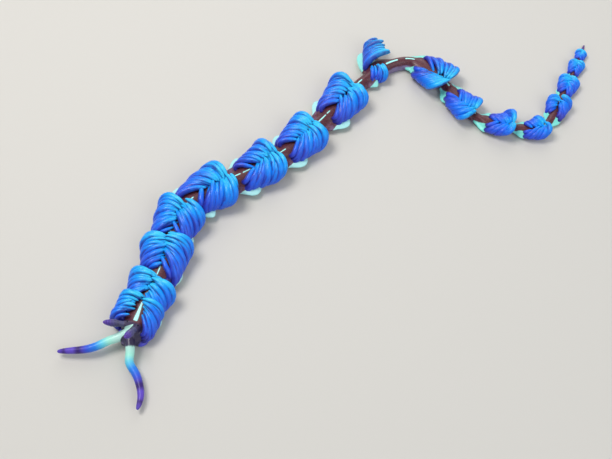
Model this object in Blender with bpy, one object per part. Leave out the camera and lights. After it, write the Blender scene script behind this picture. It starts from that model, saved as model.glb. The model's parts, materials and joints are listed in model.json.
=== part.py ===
"""A blue dragon nudibranch at life size, crawling in an S with its foot flat on the floor.

The slug is parted by thin cuts into head, neck, trunk and tail lengths, with its oral tentacles, rhinophores and
foot corners as parts of their own. Sizes are in millimetres. The frame has +Z up and its origin on the floor under
the middle of the slug, and from above the head lies at -X -Y and the tail at +X +Y.
"""

import math

import bmesh
import bpy
import numpy as np
from mathutils import Vector

MM = 0.001

# The slug's two sides, with their sign along the midline's level normal.
SIDES = {"right": 1, "left": -1}

# Clearance between neighbouring parts, and the lean of the cuts across the body: the fingers sweep back over
# the next length, so a cut leans towards the tail by this much for each millimetre of height.
GAP = 0.3
CUT_LEAN = 1.0
NECK_CUT_LEAN = 0.7

# Midline of the body on the floor, from the front of the head to the tip of the tail.
ROUTE = (
    (-36.2, -25.3), (-34.9, -23.2), (-33.8, -19.6), (-31.5, -13.6), (-30.3, -7.1), (-27.1, -0.1), (-19.7, 4.7),
    (-12.0, 9.6), (-4.9, 16.6), (2.8, 25.8), (7.3, 29.6), (12.6, 31.1), (17.7, 27.4), (21.1, 21.7), (24.7, 18.0),
    (30.2, 16.4), (35.0, 15.9), (39.0, 20.9), (42.5, 27.4), (46.8, 36.6),
)
ROUTE_STEP = 0.25

# Place along the midline, half width and height of the body.
BODY = (
    (0.0, 1.60, 2.7), (2.0, 1.75, 3.1), (5.0, 1.60, 3.1), (10.0, 1.65, 3.2), (26.0, 1.60, 3.2), (46.0, 1.35, 2.8),
    (66.0, 1.20, 2.5), (83.0, 1.10, 2.2), (98.0, 0.85, 1.9), (111.0, 0.70, 1.5), (121.0, 0.52, 1.1),
    (127.0, 0.38, 0.8), (131.5, 0.25, 0.5),
)
BODY_SIDES = 12
WAIST = 0.46          # height of the widest level, as a share of the body's height
SOLE_DROP = 1.65      # how hard the underside is flattened against the floor
BACK_NARROWING = 0.12

# Each pair of finger clusters, the right one and the left one: its middle along the midline, its size, where 1 is
# a full one, and how many millimetres its fingertips lean outwards.
PAIRS = (
    ((4.4, 1.00, 1.0), (4.4, 0.94, 0.4)), ((8.7, 0.96, 0.2), (8.7, 0.88, 0.0)),
    ((13.6, 1.00, 0.0), (13.6, 1.00, 0.0)), ((21.0, 1.00, 0.0), (21.0, 1.00, 0.0)),
    ((27.7, 1.08, 1.4), (29.8, 1.05, 0.0)), ((39.2, 1.00, 0.0), (39.2, 1.00, 0.0)),
    ((48.6, 1.00, 0.0), (48.6, 1.00, 0.0)),
    ((59.7, 1.02, 0.0), (59.7, 1.04, 0.0)), ((72.2, 0.90, 4.6), (69.5, 0.56, 0.0)),
    ((82.0, 0.88, 0.6), (81.6, 1.00, 0.6)), ((90.2, 0.78, 0.0), (90.2, 0.78, 0.0)),
    ((98.8, 0.68, 0.5), (98.8, 0.68, 0.0)), ((105.3, 0.58, 0.8), (105.3, 0.58, 0.0)),
    ((112.4, 0.54, 0.2), (112.0, 0.60, 0.8)), ((118.6, 0.50, 0.0), (118.4, 0.56, 0.8)),
    ((123.8, 0.38, 0.0), (123.8, 0.38, 0.0)), ((127.5, 0.27, 0.0), (127.5, 0.27, 0.0)),
)

# A cluster grows from a pad that swells the flank: its length and its reach outwards at size 1, the share of its
# length that the swelling covers each way, how fast the swelling fades towards the back, and where sections are cut.
LOBE_LENGTH = 5.6
LOBE_OUT = 1.55
LOBE_REACH = 0.58
LOBE_FADE = 1.5
LOBE_RINGS = (-0.60, -0.38, -0.12, 0.15, 0.40, 0.60)

# A thin edge of the pad stands out beside its shortest fingers, towards the head: how far at size 1, how far its
# middle lies from the pad's middle and its half length as shares of the pad's length, and its level and thickness as
# shares of the body's height. The first pair has none, and it follows a leaning cluster outwards.
LEDGE_OUT = 1.25
LEDGE_SHIFT = 0.40
LEDGE_REACH = 0.42
LEDGE_LEVEL = 0.40
LEDGE_THICKNESS = 0.20
LEDGE_ROUNDING = 0.7
FIRST_LEDGE = 6.0

# Fingers of a cluster stand in two tiers: one that closes over the back, and long ones that bulge along the flank
# and lie on top. Each is a curve through four control points, and each point's out and up are shares of the
# body's own half width and height plus millimetres at cluster size 1.
TIERS = {
    "inner": {
        "count": 1,
        "shares": ((1.00, 0.64), (1.00, 0.64), (0.66, 1.00), (0.03, 1.00)),
        "extra": ((0.15, 0.0), (2.50, 0.9), (1.80, 1.8), (0.00, 0.5)),
    },
    "outer": {
        "count": 4,
        "shares": ((1.00, 0.30), (1.00, 0.30), (0.80, 1.00), (0.10, 1.00)),
        "extra": ((0.50, 0.0), (3.90, 0.5), (3.10, 2.6), (0.05, 0.9)),
    },
}

# Where the control points of a tier's first and last finger lie along the body, as shares of the pad's length from
# its middle. The tips are swept further along, the tail's roots stand further back, and its tips stay off the
# midline: each by millimetres at cluster size 1, at places along the body.
FAN_ENDS = ((-0.46, 0.24), (-0.44, 0.62), (-0.08, 1.02), (0.34, 0.90))
SWEEP_SHARES = (0.0, 0.1, 0.6, 1.0)
SWEEPS = {
    "right": (
        (0.0, -0.9), (22.0, -0.7), (27.7, 0.6), (39.0, 0.1), (75.0, 0.0), (84.0, 1.6), (112.0, 2.4), (123.0, 0.0),
    ),
    "left": ((0.0, 0.4), (9.0, 0.0), (75.0, 0.0), (84.0, 1.6), (112.0, 2.4), (123.0, 0.0)),
}
ROOT_SHIFTS = ((74.0, 0.0), (82.0, 1.0), (110.0, 2.0), (116.0, 0.7), (128.0, 0.2))
OPENINGS = ((72.0, -0.15), (84.0, 0.6), (112.0, 1.3), (117.0, -0.1), (131.0, -0.2))

# In a cluster that leans out this far the fingers are stacked from the body outwards instead, and the pad's edge
# stands further back and follows them outwards by this share of the lean.
STACKED_LEAN = 3.0
STACKED_LEDGE_SHIFT = 0.16
STACKED_LEDGE_OUT = 0.5
STACKED_ENDS = ((0.10, -0.42), (0.10, -0.36), (0.30, 0.16), (0.48, 0.50))
STACKED_SHARES = ((0.90, 0.50), (1.00, 0.80), (0.90, 1.00), (0.70, 1.00))
STACKED_EXTRA = ((0.00, 0.2), (0.70, 1.2), (0.70, 1.8), (0.20, 1.3))
LEAN_LOSS = 0.85        # share of the lean that the cluster's last finger lacks
FINGER_RADII = (0.46, 0.60, 0.66, 0.58, 0.0)
FINGER_PLACES = (0.0, 0.26, 0.52, 0.80, 1.0)
FINGER_SIDES = 5
FINGER_THINNING = 0.6   # power of the cluster's size that its fingers' radii follow
FINGER_MARGIN = 0.08    # kept between a finger and a cut, besides half the gap
FLOOR_MARGIN = 0.05     # kept between a finger and the floor
LEAN_SHARES = (0.40, 0.70, 0.90, 1.0)   # how much of a cluster's outward lean each control point takes
SHORTEST = 0.52         # length of the finger at a cluster's head end, as a share of the one at its tail end
LONE_FINGER = 0.6       # place of a single finger between those two ends
SWAY = 0.06             # random change in a finger's size
TIP_SWAY = 0.2          # random shift of a finger's tip
SEED = 21

# The lengths of the body: name, and where its cut towards the head meets the floor. The last runs to the tail's tip.
# Each length's solid begins and ends past its cuts by these margins, for the cuts to trim.
LENGTHS = (
    ("neck", 1.6), ("trunk_01", 9.0), ("trunk_02", 15.6), ("trunk_03", 22.9), ("trunk_04", 33.0), ("trunk_05", 42.4),
    ("trunk_06", 52.8), ("trunk_07", 62.8), ("trunk_08", 74.2), ("trunk_09", 84.6), ("trunk_10", 93.4),
    ("trunk_11", 100.4), ("tail_01", 107.4), ("tail_02", 114.2), ("tail_03", 120.4),
)
TAIL_TIP = 131.2
START_MARGIN = 1.0
END_MARGIN = 4.5
CUTTER_SIZE = 30.0
SHARP_ANGLE = 50.0

# The rounded front of the head, from its foremost point, with sections at these shares of a quarter turn that close
# on a point at this level, and plain sections behind it as far as the cut at the neck.
HEAD_FRONT = -0.35
HEAD_ROUNDING = 1.9
HEAD_LEVEL = 1.55
HEAD_TURNS = (0.12, 0.26, 0.42, 0.60, 0.80, 1.0)
HEAD_FULLNESS = 0.85
HEAD_REST = (2.4, 3.4, 4.6)

# The lips stand round an upright slit below the front of the head: half sizes along, across and up, and places.
LIP_SIZE = (0.42, 0.52, 0.72)
LIP_PLACE = 0.30
LIP_LEVEL = 1.20
SLIT_SIZE = (0.50, 0.14, 0.52)
SLIT_PLACE = -0.05

# Oral tentacles: centre line, and radius at even steps along it, thinned further just before the tip. The first
# stub belongs to the head, and a cut parts the rest in the middle.
TENTACLE_LINES = {
    "right": (
        (-36.1, -24.1, 2.00), (-37.2, -24.8, 2.10), (-38.6, -25.3, 2.00), (-40.1, -26.0, 1.85), (-41.7, -26.5, 1.65),
        (-44.3, -26.7, 1.35), (-46.9, -26.8, 1.15),
    ),
    "left": (
        (-35.4, -24.7, 2.00), (-35.2, -25.9, 2.05), (-35.1, -27.3, 1.85), (-35.1, -28.7, 1.65), (-34.2, -30.2, 1.45),
        (-33.3, -32.1, 1.30), (-32.9, -34.3, 1.20), (-33.3, -36.3, 1.15),
    ),
}
TENTACLE_RADII = (0.74, 0.74, 0.70, 0.68, 0.66, 0.62, 0.56, 0.48, 0.36)
TENTACLE_THINNING = 0.8
TENTACLE_STUB = 1.9
TENTACLE_MIDDLE = 6.6
FEELER_SIDES = 8

# Rhinophores: root and tip, then a smooth stalk below a club of raised rings that is fullest at its second ring and
# ends in a blunt tip. The first stub belongs to the head.
RHINOPHORE_LINES = {
    "right": ((-35.4, -22.8, 2.6), (-39.1, -23.4, 5.2)),
    "left": ((-34.2, -23.3, 2.6), (-35.2, -26.3, 6.1)),
}
RHINOPHORE_STUB = 1.0
STALK_LENGTH = 1.9
STALK_RADIUS = 0.46
CLUB_RADIUS = 0.66
CLUB_TAPER = 0.18
CLUB_TIP = 0.7
RING_COUNT = 5
RING_PLACES = (0.20, 0.55, 0.90)
RING_DEPTH = 0.10
BLUNT_RADIUS = 0.28

# Pointed front corners of the foot: places along the midline, to the side, and up, and the radius there. The first
# stub belongs to the head.
FOOT_CORNER = ((1.2, 0.9, 0.45, 0.45), (1.1, 1.7, 0.45, 0.42), (1.5, 2.3, 0.42, 0.34), (2.3, 2.7, 0.36, 0.18))
FOOT_CORNER_STUB = 0.95
FOOT_CORNER_STEPS = 5


def natural_spline(knots, values, places):
    """Reads a natural cubic spline through the values at the knots."""
    count = len(knots)
    spans = np.diff(knots)
    matrix = np.eye(count)
    right = np.zeros((count, values.shape[1]))
    for i in range(1, count - 1):
        matrix[i, i - 1:i + 2] = spans[i - 1], 2 * (spans[i - 1] + spans[i]), spans[i]
        right[i] = 6 * ((values[i + 1] - values[i]) / spans[i] - (values[i] - values[i - 1]) / spans[i - 1])
    bend = np.linalg.solve(matrix, right)
    i = np.clip(np.searchsorted(knots, places) - 1, 0, count - 2)
    span = spans[i][:, None]
    ahead = (knots[i + 1] - places)[:, None]
    behind = (places - knots[i])[:, None]
    curve = (bend[i] * ahead**3 + bend[i + 1] * behind**3) / (6 * span)
    line = (values[i] / span - bend[i] * span / 6) * ahead + (values[i + 1] / span - bend[i + 1] * span / 6) * behind
    return curve + line


def smooth_line(points, step):
    """Points every step or so along a smooth curve through the given points, with their distances along it."""
    points = np.array(points, float)
    knots = np.concatenate([[0.0], np.cumsum(np.linalg.norm(np.diff(points, axis=0), axis=1))])
    places = np.linspace(0, knots[-1], int(knots[-1] / step) + 1)
    line = natural_spline(knots, points, places)
    along = np.concatenate([[0.0], np.cumsum(np.linalg.norm(np.diff(line, axis=0), axis=1))])
    return line, along


MIDLINE, ALONG = smooth_line(ROUTE, ROUTE_STEP)


def midline_frame(place):
    """Point on the floor, unit vector towards the tail, and unit vector to the slug's right, all level."""
    half = ROUTE_STEP
    inside = min(max(place, half), ALONG[-1] - half)
    ends = [np.array([np.interp(inside + d, ALONG, MIDLINE[:, axis]) for axis in (0, 1)]) for d in (-half, half)]
    back = (ends[1] - ends[0]) / np.linalg.norm(ends[1] - ends[0])
    point = (ends[0] + ends[1]) / 2 + back * (place - inside)
    return np.array([*point, 0.0]), np.array([*back, 0.0]), np.array([-back[1], back[0], 0.0])


def body_size(place):
    """Half width and height of the body there."""
    places = [row[0] for row in BODY]
    return [float(np.interp(place, places, [row[column] for row in BODY])) for column in (1, 2)]


def material(name, colour, roughness):
    """A plain wet-looking finish."""
    made = bpy.data.materials.new(name)
    made.use_nodes = True
    shader = made.node_tree.nodes["Principled BSDF"]
    shader.inputs["Base Color"].default_value = (*colour, 1.0)
    shader.inputs["Roughness"].default_value = roughness
    shader.inputs["Metallic"].default_value = 0.0
    made.diffuse_color = (*colour, 1.0)
    return made


def skin_over(name, rings, finish):
    """One closed body through rings of points. A ring of one point is a tip, and other end rings are capped."""
    mesh = bpy.data.meshes.new(name)
    bm = bmesh.new()
    loops = [[bm.verts.new(Vector(point) * MM) for point in ring] for ring in rings]
    for first, second in zip(loops, loops[1:]):
        count = max(len(first), len(second))
        for i in range(count):
            j = (i + 1) % count
            corners = [first[i % len(first)], first[j % len(first)], second[j % len(second)], second[i % len(second)]]
            bm.faces.new(list(dict.fromkeys(corners)))
    for loop in (loops[0], loops[-1]):
        if len(loop) > 1:
            bm.faces.new(loop)
    bmesh.ops.recalc_face_normals(bm, faces=bm.faces)
    bmesh.ops.triangulate(bm, faces=bm.faces)
    bm.to_mesh(mesh)
    bm.free()
    mesh.materials.append(finish)
    made = bpy.data.objects.new(name, mesh)
    bpy.context.scene.collection.objects.link(made)
    return made


def tube(name, line, radii, sides, finish, tip=True):
    """A round body along a line of points, ending in a point if tip is set."""
    line = np.array(line, float)
    headings = np.gradient(line, axis=0)
    headings /= np.linalg.norm(headings, axis=1)[:, None]
    across = np.cross(headings[0], (0.0, 0.0, 1.0))
    if np.linalg.norm(across) < 0.1:
        across = np.array([1.0, 0.0, 0.0])
    rings = []
    for point, heading, radius in zip(line, headings, radii):
        across = across - heading * (across @ heading)
        across /= np.linalg.norm(across)
        up = np.cross(across, heading)
        turns = [2 * math.pi * i / sides for i in range(sides)]
        rings.append([point + radius * (across * math.cos(turn) + up * math.sin(turn)) for turn in turns])
    if tip:
        rings[-1] = [line[-1]]
    return skin_over(name, rings, finish)


def ball(name, centre, axes, sizes, finish):
    """An ellipsoid with its three half sizes along the three axes."""
    mesh = bpy.data.meshes.new(name)
    bm = bmesh.new()
    bmesh.ops.create_icosphere(bm, subdivisions=2, radius=1.0)
    for vert in bm.verts:
        vert.co = Vector(centre + sum(axis * size * share for axis, size, share in zip(axes, sizes, vert.co))) * MM
    bmesh.ops.recalc_face_normals(bm, faces=bm.faces)
    bm.to_mesh(mesh)
    bm.free()
    mesh.materials.append(finish)
    made = bpy.data.objects.new(name, mesh)
    bpy.context.scene.collection.objects.link(made)
    return made


def run_boolean(base, operation, others):
    """Applies one Boolean on a collection of other bodies, then removes them."""
    group = bpy.data.collections.new(base.name + "_others")
    for other in others:
        group.objects.link(other)
    modifier = base.modifiers.new("fuse", "BOOLEAN")
    modifier.operation = operation
    modifier.operand_type = "COLLECTION"
    modifier.collection = group
    modifier.solver = "MANIFOLD"
    with bpy.context.temp_override(object=base, active_object=base):
        bpy.ops.object.modifier_apply(modifier=modifier.name)
    for other in others:
        bpy.data.objects.remove(other)
    bpy.data.collections.remove(group)


def keep_largest(base):
    """Drops every closed surface but the largest."""
    bm = bmesh.new()
    bm.from_mesh(base.data)
    bmesh.ops.triangulate(bm, faces=bm.faces)
    left = set(bm.faces)
    pieces = []
    while left:
        found = [left.pop()]
        for face in found:
            for edge in face.edges:
                for near in edge.link_faces:
                    if near in left:
                        left.remove(near)
                        found.append(near)
        corners = [[vert.co for vert in face.verts] for face in found]
        pieces.append((abs(sum(a.dot(b.cross(c)) for a, b, c in corners)), found))
    pieces.sort(key=lambda piece: piece[0])
    for _, faces in pieces[:-1]:
        bmesh.ops.delete(bm, geom=faces, context="FACES")
    loose = [vert for vert in bm.verts if not vert.link_faces]
    bmesh.ops.delete(bm, geom=loose, context="VERTS")
    bm.to_mesh(base.data)
    bm.free()
    base.data.shade_smooth()
    base.data.set_sharp_from_angle(angle=math.radians(SHARP_ANGLE))


class Cut:
    """A leaning plane across the body, where one length ends and the next begins."""

    def __init__(self, place, lean):
        self.point, back, _ = midline_frame(place)
        tilt = math.atan(lean)
        self.normal = back * math.cos(tilt) - np.array([0.0, 0.0, math.sin(tilt)])

    def beyond(self, point):
        """How far a point lies past the cut, towards the tail."""
        return float((point - self.point) @ self.normal)

    def block(self, side):
        """A large block that covers all past the cut: side 1 is towards the tail, and -1 towards the head."""
        mesh = bpy.data.meshes.new("cutter")
        bm = bmesh.new()
        bmesh.ops.create_cube(bm, size=CUTTER_SIZE * MM)
        bm.to_mesh(mesh)
        bm.free()
        made = bpy.data.objects.new("cutter", mesh)
        bpy.context.scene.collection.objects.link(made)
        direction = Vector(self.normal) * side
        made.rotation_mode = "QUATERNION"
        made.rotation_quaternion = direction.to_track_quat("Z", "Y")
        made.location = (Vector(self.point) + direction * (CUTTER_SIZE / 2 - GAP / 2)) * MM
        return made


def lobe_swelling(place, side):
    """How far the pads that the clusters grow from push that side's flank out there."""
    swelling = 0.0
    for pair in PAIRS:
        middle, size, _ = pair[side == "left"]
        reach = (place - middle) / (LOBE_REACH * LOBE_LENGTH * size)
        swelling += LOBE_OUT * size * max(0.0, 1 - reach * reach)
    return swelling


def lobe_ledge(place, side):
    """How far the thin edge of each pad stands out beside the shortest fingers."""
    ledge = 0.0
    for pair in PAIRS:
        middle, size, lean = pair[side == "left"]
        if middle > FIRST_LEDGE:
            length = LOBE_LENGTH * size
            stacked = lean > STACKED_LEAN
            shift = STACKED_LEDGE_SHIFT if stacked else LEDGE_SHIFT
            out = LEDGE_OUT * size + STACKED_LEDGE_OUT * lean * stacked
            reach = (place - middle + shift * length) / (LEDGE_REACH * length)
            ledge = max(ledge, out * max(0.0, 1 - reach * reach) ** LEDGE_ROUNDING)
    return ledge


def read_off(table, place):
    """Reads a table of places and values."""
    return float(np.interp(place, *zip(*table)))


def body_ring(place):
    """Section of the body: flat on the floor, widest below half height, and narrower along the back."""
    point, _, right = midline_frame(place)
    half_width, height = body_size(place)
    swelling = {side: lobe_swelling(place, side) for side in SIDES}
    ledges = {side: lobe_ledge(place, side) for side in SIDES}
    ring = []
    for i in range(BODY_SIDES):
        turn = 2 * math.pi * (i + 0.5) / BODY_SIDES
        rise = math.sin(turn)
        out = half_width * math.cos(turn) * (1 - BACK_NARROWING * rise)
        if rise > 0:
            up = height * (WAIST + (1 - WAIST) * rise)
        else:
            up = height * max(0.0, WAIST * (1 + SOLE_DROP * rise))
        if up > 0:
            pushed = abs(math.cos(turn)) ** LOBE_FADE
            level = math.exp(-((up / height - LEDGE_LEVEL) / LEDGE_THICKNESS) ** 2)
            side = "right" if out > 0 else "left"
            out += SIDES[side] * (pushed * swelling[side] + level * ledges[side])
        ring.append(point + right * out + np.array([0.0, 0.0, up]))
    return ring


def body_tube(name, start, end, finish):
    """A stretch of the body, longer than its length so that the cuts can trim it."""
    places = [start, end]
    for right, left in PAIRS:
        middle = (right[0] + left[0]) / 2
        places += [middle + LOBE_LENGTH * max(right[1], left[1]) * share for share in LOBE_RINGS]
    places = sorted(place for place in places if start <= place <= end)
    return skin_over(name, [body_ring(place) for place in places], finish)


def bezier(points, share):
    """Point on the cubic curve through four control points."""
    a, b, c, d = points
    rest = 1 - share
    return a * rest**3 + 3 * b * rest**2 * share + 3 * c * rest * share**2 + d * share**3


def kept_clear(point, radius, start_cut, end_cut):
    """Moves a finger's point off the cuts, so that it stays within its own length of the body."""
    room = radius + GAP / 2 + FINGER_MARGIN
    past_start = start_cut.beyond(point)
    if past_start < room:
        point = point + start_cut.normal * (room - past_start)
    if end_cut and end_cut.beyond(point) > -room:
        point = point - end_cut.normal * (room + end_cut.beyond(point))
    return point


def finger(middle, side, tier, size, lean, share, cuts, chance, finish):
    """One finger of the cluster on the pad with that middle, that arches out and up and sweeps towards the tail."""
    reach = size * (SHORTEST + (1 - SHORTEST) * share) * chance.uniform(1 - SWAY, 1 + SWAY)
    sway = chance.uniform(-TIP_SWAY, TIP_SWAY, 3) * size
    sweep = read_off(SWEEPS[side], middle) * size
    opening = read_off(OPENINGS, middle) * size
    rooting = read_off(ROOT_SHIFTS, middle) * size
    stacked = lean > STACKED_LEAN
    lean = lean * (1 - LEAN_LOSS * share)
    controls = []
    for i in range(4):
        first, last = (STACKED_ENDS if stacked else FAN_ENDS)[i]
        shares = STACKED_SHARES[i] if stacked else TIERS[tier]["shares"][i]
        extra = STACKED_EXTRA[i] if stacked else TIERS[tier]["extra"][i]
        along, aside, above = sway * (i == 3)
        place = middle + LOBE_LENGTH * size * (first + (last - first) * share) + sweep * SWEEP_SHARES[i] + along
        place += rooting * (i < 2)
        half_width, height = body_size(place)
        out = half_width * shares[0] + extra[0] * reach + aside + opening * SWEEP_SHARES[i]
        out += lean * (1.0 if stacked else LEAN_SHARES[i])
        point, _, right = midline_frame(place)
        up = height * shares[1] + extra[1] * reach + above
        controls.append(point + right * SIDES[side] * out + np.array([0.0, 0.0, up]))
    radii = [radius * size ** FINGER_THINNING for radius in FINGER_RADII]
    line = [bezier(controls, step) for step in FINGER_PLACES]
    line = line[:1] + [kept_clear(point, radius, *cuts) for point, radius in zip(line[1:], radii[1:])]
    for point, radius in zip(line, radii):
        point[2] = max(point[2], radius + FLOOR_MARGIN)
    return tube("finger", line, radii, FINGER_SIDES, finish)


def cluster(side, middle, size, lean, cuts, chance, finish):
    """The tiers of fingers on one side's lobe."""
    made = []
    for tier, row in TIERS.items():
        count = max(1, round(row["count"] * size))
        for i in range(count):
            share = i / (count - 1) if count > 1 else LONE_FINGER
            made.append(finger(middle, side, tier, size, lean, share, cuts, chance, finish))
    return made


def along_line(points, radii, start, end, count):
    """Points and radii at even steps along a stretch of a smooth line."""
    line, along = smooth_line(points, ROUTE_STEP)
    end = along[-1] if end is None else end
    places = np.linspace(start, end, count)
    middle = np.stack([np.interp(places, along, line[:, axis]) for axis in range(3)], axis=1)
    return middle, np.interp(places / along[-1], np.linspace(0, 1, len(radii)), radii)


def tentacle(name, side, start, end, count, finish, tip=False):
    """A stretch of an oral tentacle."""
    line, radii = along_line(TENTACLE_LINES[side], TENTACLE_RADII, start, end, count)
    if tip:
        radii[-2] *= TENTACLE_THINNING
    return tube(name, line, radii, FEELER_SIDES, finish, tip)


def rhinophore(name, side, start, end, finish):
    """A stretch of a rhinophore, with the club if it runs to the tip."""
    root, top = (np.array(point) for point in RHINOPHORE_LINES[side])
    length = np.linalg.norm(top - root)
    places = [start, STALK_LENGTH if end is None else end]
    radii = [STALK_RADIUS, STALK_RADIUS]
    if end is None:
        pitch = (length - CLUB_TIP - STALK_LENGTH) / RING_COUNT
        for i in range(RING_COUNT):
            swell = CLUB_RADIUS - CLUB_TAPER * abs(i - 1) / (RING_COUNT - 1)
            places += [STALK_LENGTH + pitch * (i + share) for share in RING_PLACES]
            radii += [swell - RING_DEPTH, swell, swell - RING_DEPTH]
        places += [length - CLUB_TIP / 2, length]
        radii += [BLUNT_RADIUS, 0.0]
    line = [root + (top - root) * place / length for place in places]
    return tube(name, line, radii, FEELER_SIDES, finish, tip=end is None)


def foot_corner(name, side, start, end, finish):
    """A stretch of a foot corner, pointed at its tip."""
    line = []
    for place, out, up, _ in FOOT_CORNER:
        point, _, right = midline_frame(place)
        line.append(point + right * SIDES[side] * out + np.array([0.0, 0.0, up]))
    middle, radii = along_line(line, [row[3] for row in FOOT_CORNER], start, end, FOOT_CORNER_STEPS)
    return tube(name, middle, radii, FEELER_SIDES, finish, tip=end is None)


def head(neck_cut, finish):
    """The rounded head, with its lips and the stubs that its feelers and the foot's corners grow from."""
    foremost, back, right = midline_frame(HEAD_FRONT)
    up = np.array([0.0, 0.0, 1.0])
    rings = [[foremost + up * HEAD_LEVEL]]
    for turn in HEAD_TURNS:
        place = HEAD_FRONT + HEAD_ROUNDING * (1 - math.cos(turn * math.pi / 2))
        share = math.sin(turn * math.pi / 2) ** HEAD_FULLNESS
        axis = midline_frame(place)[0] + up * HEAD_LEVEL
        rings.append([axis + (point - axis) * share for point in body_ring(place)])
    rings += [body_ring(place) for place in HEAD_REST]
    base = skin_over("head", rings, finish)
    axes = (back, right, up)
    pieces = [ball("lips", foremost + back * LIP_PLACE + up * LIP_LEVEL, axes, LIP_SIZE, finish)]
    for side in SIDES:
        pieces.append(tentacle("stub", side, 0.0, TENTACLE_STUB, 3, finish))
        pieces.append(rhinophore("stub", side, 0.0, RHINOPHORE_STUB, finish))
        pieces.append(foot_corner("stub", side, 0.0, FOOT_CORNER_STUB, finish))
    run_boolean(base, "UNION", pieces)
    slit = ball("slit", foremost + back * SLIT_PLACE + up * LIP_LEVEL, axes, SLIT_SIZE, finish)
    run_boolean(base, "DIFFERENCE", [slit, neck_cut.block(1)])
    keep_largest(base)


def body_length(name, cuts, start, end, finish):
    """One length of the body, between its cuts, with the clusters that grow from it."""
    base = body_tube(name, start, end, finish)
    chance = np.random.default_rng([SEED, int(start * 10)])
    pieces = []
    for pair in PAIRS:
        middle = midline_frame((pair[0][0] + pair[1][0]) / 2)[0]
        if cuts[0].beyond(middle) > 0 and (cuts[1] is None or cuts[1].beyond(middle) < 0) and start < pair[0][0] < end:
            for side, row in zip(SIDES, pair):
                pieces += cluster(side, *row, cuts, chance, finish)
    run_boolean(base, "UNION", pieces)
    blocks = [cuts[0].block(-1)] + ([cuts[1].block(1)] if cuts[1] else [])
    run_boolean(base, "DIFFERENCE", blocks)
    keep_largest(base)


def build():
    """Models every part of the slug."""
    for old in list(bpy.data.objects):
        bpy.data.objects.remove(old)
    blue = material("cerata_blue", (0.02, 0.20, 0.85), 0.35)
    dark = material("head_skin", (0.08, 0.02, 0.05), 0.35)
    mint = material("tentacle_skin", (0.10, 0.55, 0.70), 0.35)
    slate = material("rhinophore_skin", (0.05, 0.05, 0.12), 0.40)
    starts = [start for _, start in LENGTHS]
    cuts = [Cut(start, CUT_LEAN if i else NECK_CUT_LEAN) for i, start in enumerate(starts)]
    head(cuts[0], dark)
    for side in SIDES:
        tentacle("oral_tentacle_base_" + side, side, TENTACLE_STUB + GAP, TENTACLE_MIDDLE, 6, mint)
        tentacle("oral_tentacle_tip_" + side, side, TENTACLE_MIDDLE + GAP, None, 8, mint, tip=True)
        rhinophore("rhinophore_" + side, side, RHINOPHORE_STUB + GAP, None, slate)
        foot_corner("foot_corner_" + side, side, FOOT_CORNER_STUB + GAP, None, dark)
    ends = [start + END_MARGIN for start in starts[1:]] + [TAIL_TIP]
    for name, start, end, *pair in zip([name for name, _ in LENGTHS], starts, ends, cuts, cuts[1:] + [None]):
        body_length(name, pair, start - START_MARGIN, end, blue)


build()
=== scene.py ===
# %% [markdown]
# This script dresses a blue dragon nudibranch, a sea slug, at life size. The real animal is one soft body that
# carries 17 pairs of finger clusters, called cerata. The solid parts under it are cut into lengths so that they can
# be handled one by one. Here one skin without seams covers them, and finer fingers take the place of the solid
# ones. Every size below is in millimetres, and becomes metres as a mesh is made.

# %% Load the solid parts
import json
import math

import bpy
import numpy as np
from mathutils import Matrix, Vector, bvhtree, kdtree

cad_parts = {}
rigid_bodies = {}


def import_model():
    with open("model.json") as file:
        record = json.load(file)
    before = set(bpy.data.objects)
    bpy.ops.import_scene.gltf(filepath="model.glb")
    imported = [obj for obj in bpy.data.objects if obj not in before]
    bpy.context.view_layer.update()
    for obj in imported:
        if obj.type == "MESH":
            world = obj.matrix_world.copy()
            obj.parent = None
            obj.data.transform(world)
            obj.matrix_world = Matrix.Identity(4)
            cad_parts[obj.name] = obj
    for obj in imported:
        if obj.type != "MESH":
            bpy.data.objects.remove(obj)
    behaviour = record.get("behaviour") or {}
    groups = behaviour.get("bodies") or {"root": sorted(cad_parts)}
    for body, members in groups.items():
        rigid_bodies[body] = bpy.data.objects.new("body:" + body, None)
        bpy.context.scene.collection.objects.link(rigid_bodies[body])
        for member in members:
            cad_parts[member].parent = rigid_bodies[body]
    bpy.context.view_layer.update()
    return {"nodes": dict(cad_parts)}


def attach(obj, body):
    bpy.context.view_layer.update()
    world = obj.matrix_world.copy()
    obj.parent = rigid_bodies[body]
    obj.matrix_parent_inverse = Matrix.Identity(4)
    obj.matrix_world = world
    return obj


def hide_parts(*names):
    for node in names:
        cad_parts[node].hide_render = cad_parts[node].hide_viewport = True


MM = 0.001


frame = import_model()

# %% [markdown]
# The view is the photographer's: from above the slug's left side at 62 degrees, with a plain 50 mm lens, so the
# long S of the body fills the picture. A camera looks along its own -Z, so its rotation comes from the direction
# to the target.

# %% Camera
CAMERA_TARGET = (-7.4, -4.3, 0.0)
CAMERA_ELEVATION = math.radians(62.0)
CAMERA_DISTANCE = 146.2


def new_object(name, data):
    """A new object of the scene that shows the data."""
    made = bpy.data.objects.new(name, data)
    bpy.context.scene.collection.objects.link(made)
    return made


camera_lens = bpy.data.cameras.new("camera")
camera_lens.lens = 50.0
camera_lens.sensor_width = 36.0
camera_lens.clip_start = 2 * MM
camera_lens.clip_end = 5.0
camera = new_object("camera", camera_lens)
away = Vector((0.0, -math.cos(CAMERA_ELEVATION), math.sin(CAMERA_ELEVATION)))
camera.location = (Vector(CAMERA_TARGET) + away * CAMERA_DISTANCE) * MM
camera.rotation_euler = away.to_track_quat("Z", "Y").to_euler()
bpy.context.scene.camera = camera
print("camera at", [round(c / MM, 1) for c in camera.location], "mm")

# %% [markdown]
# A pale floor and three large soft lamps stand in for a photo studio. A lamp's softness comes from its size beside
# its distance: at 20 cm across and 30 cm away, shadows melt at their edges as they do in shallow sea water. The
# Standard view keeps the strong blues of the fingers, which a film-like view would wash out.

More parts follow.
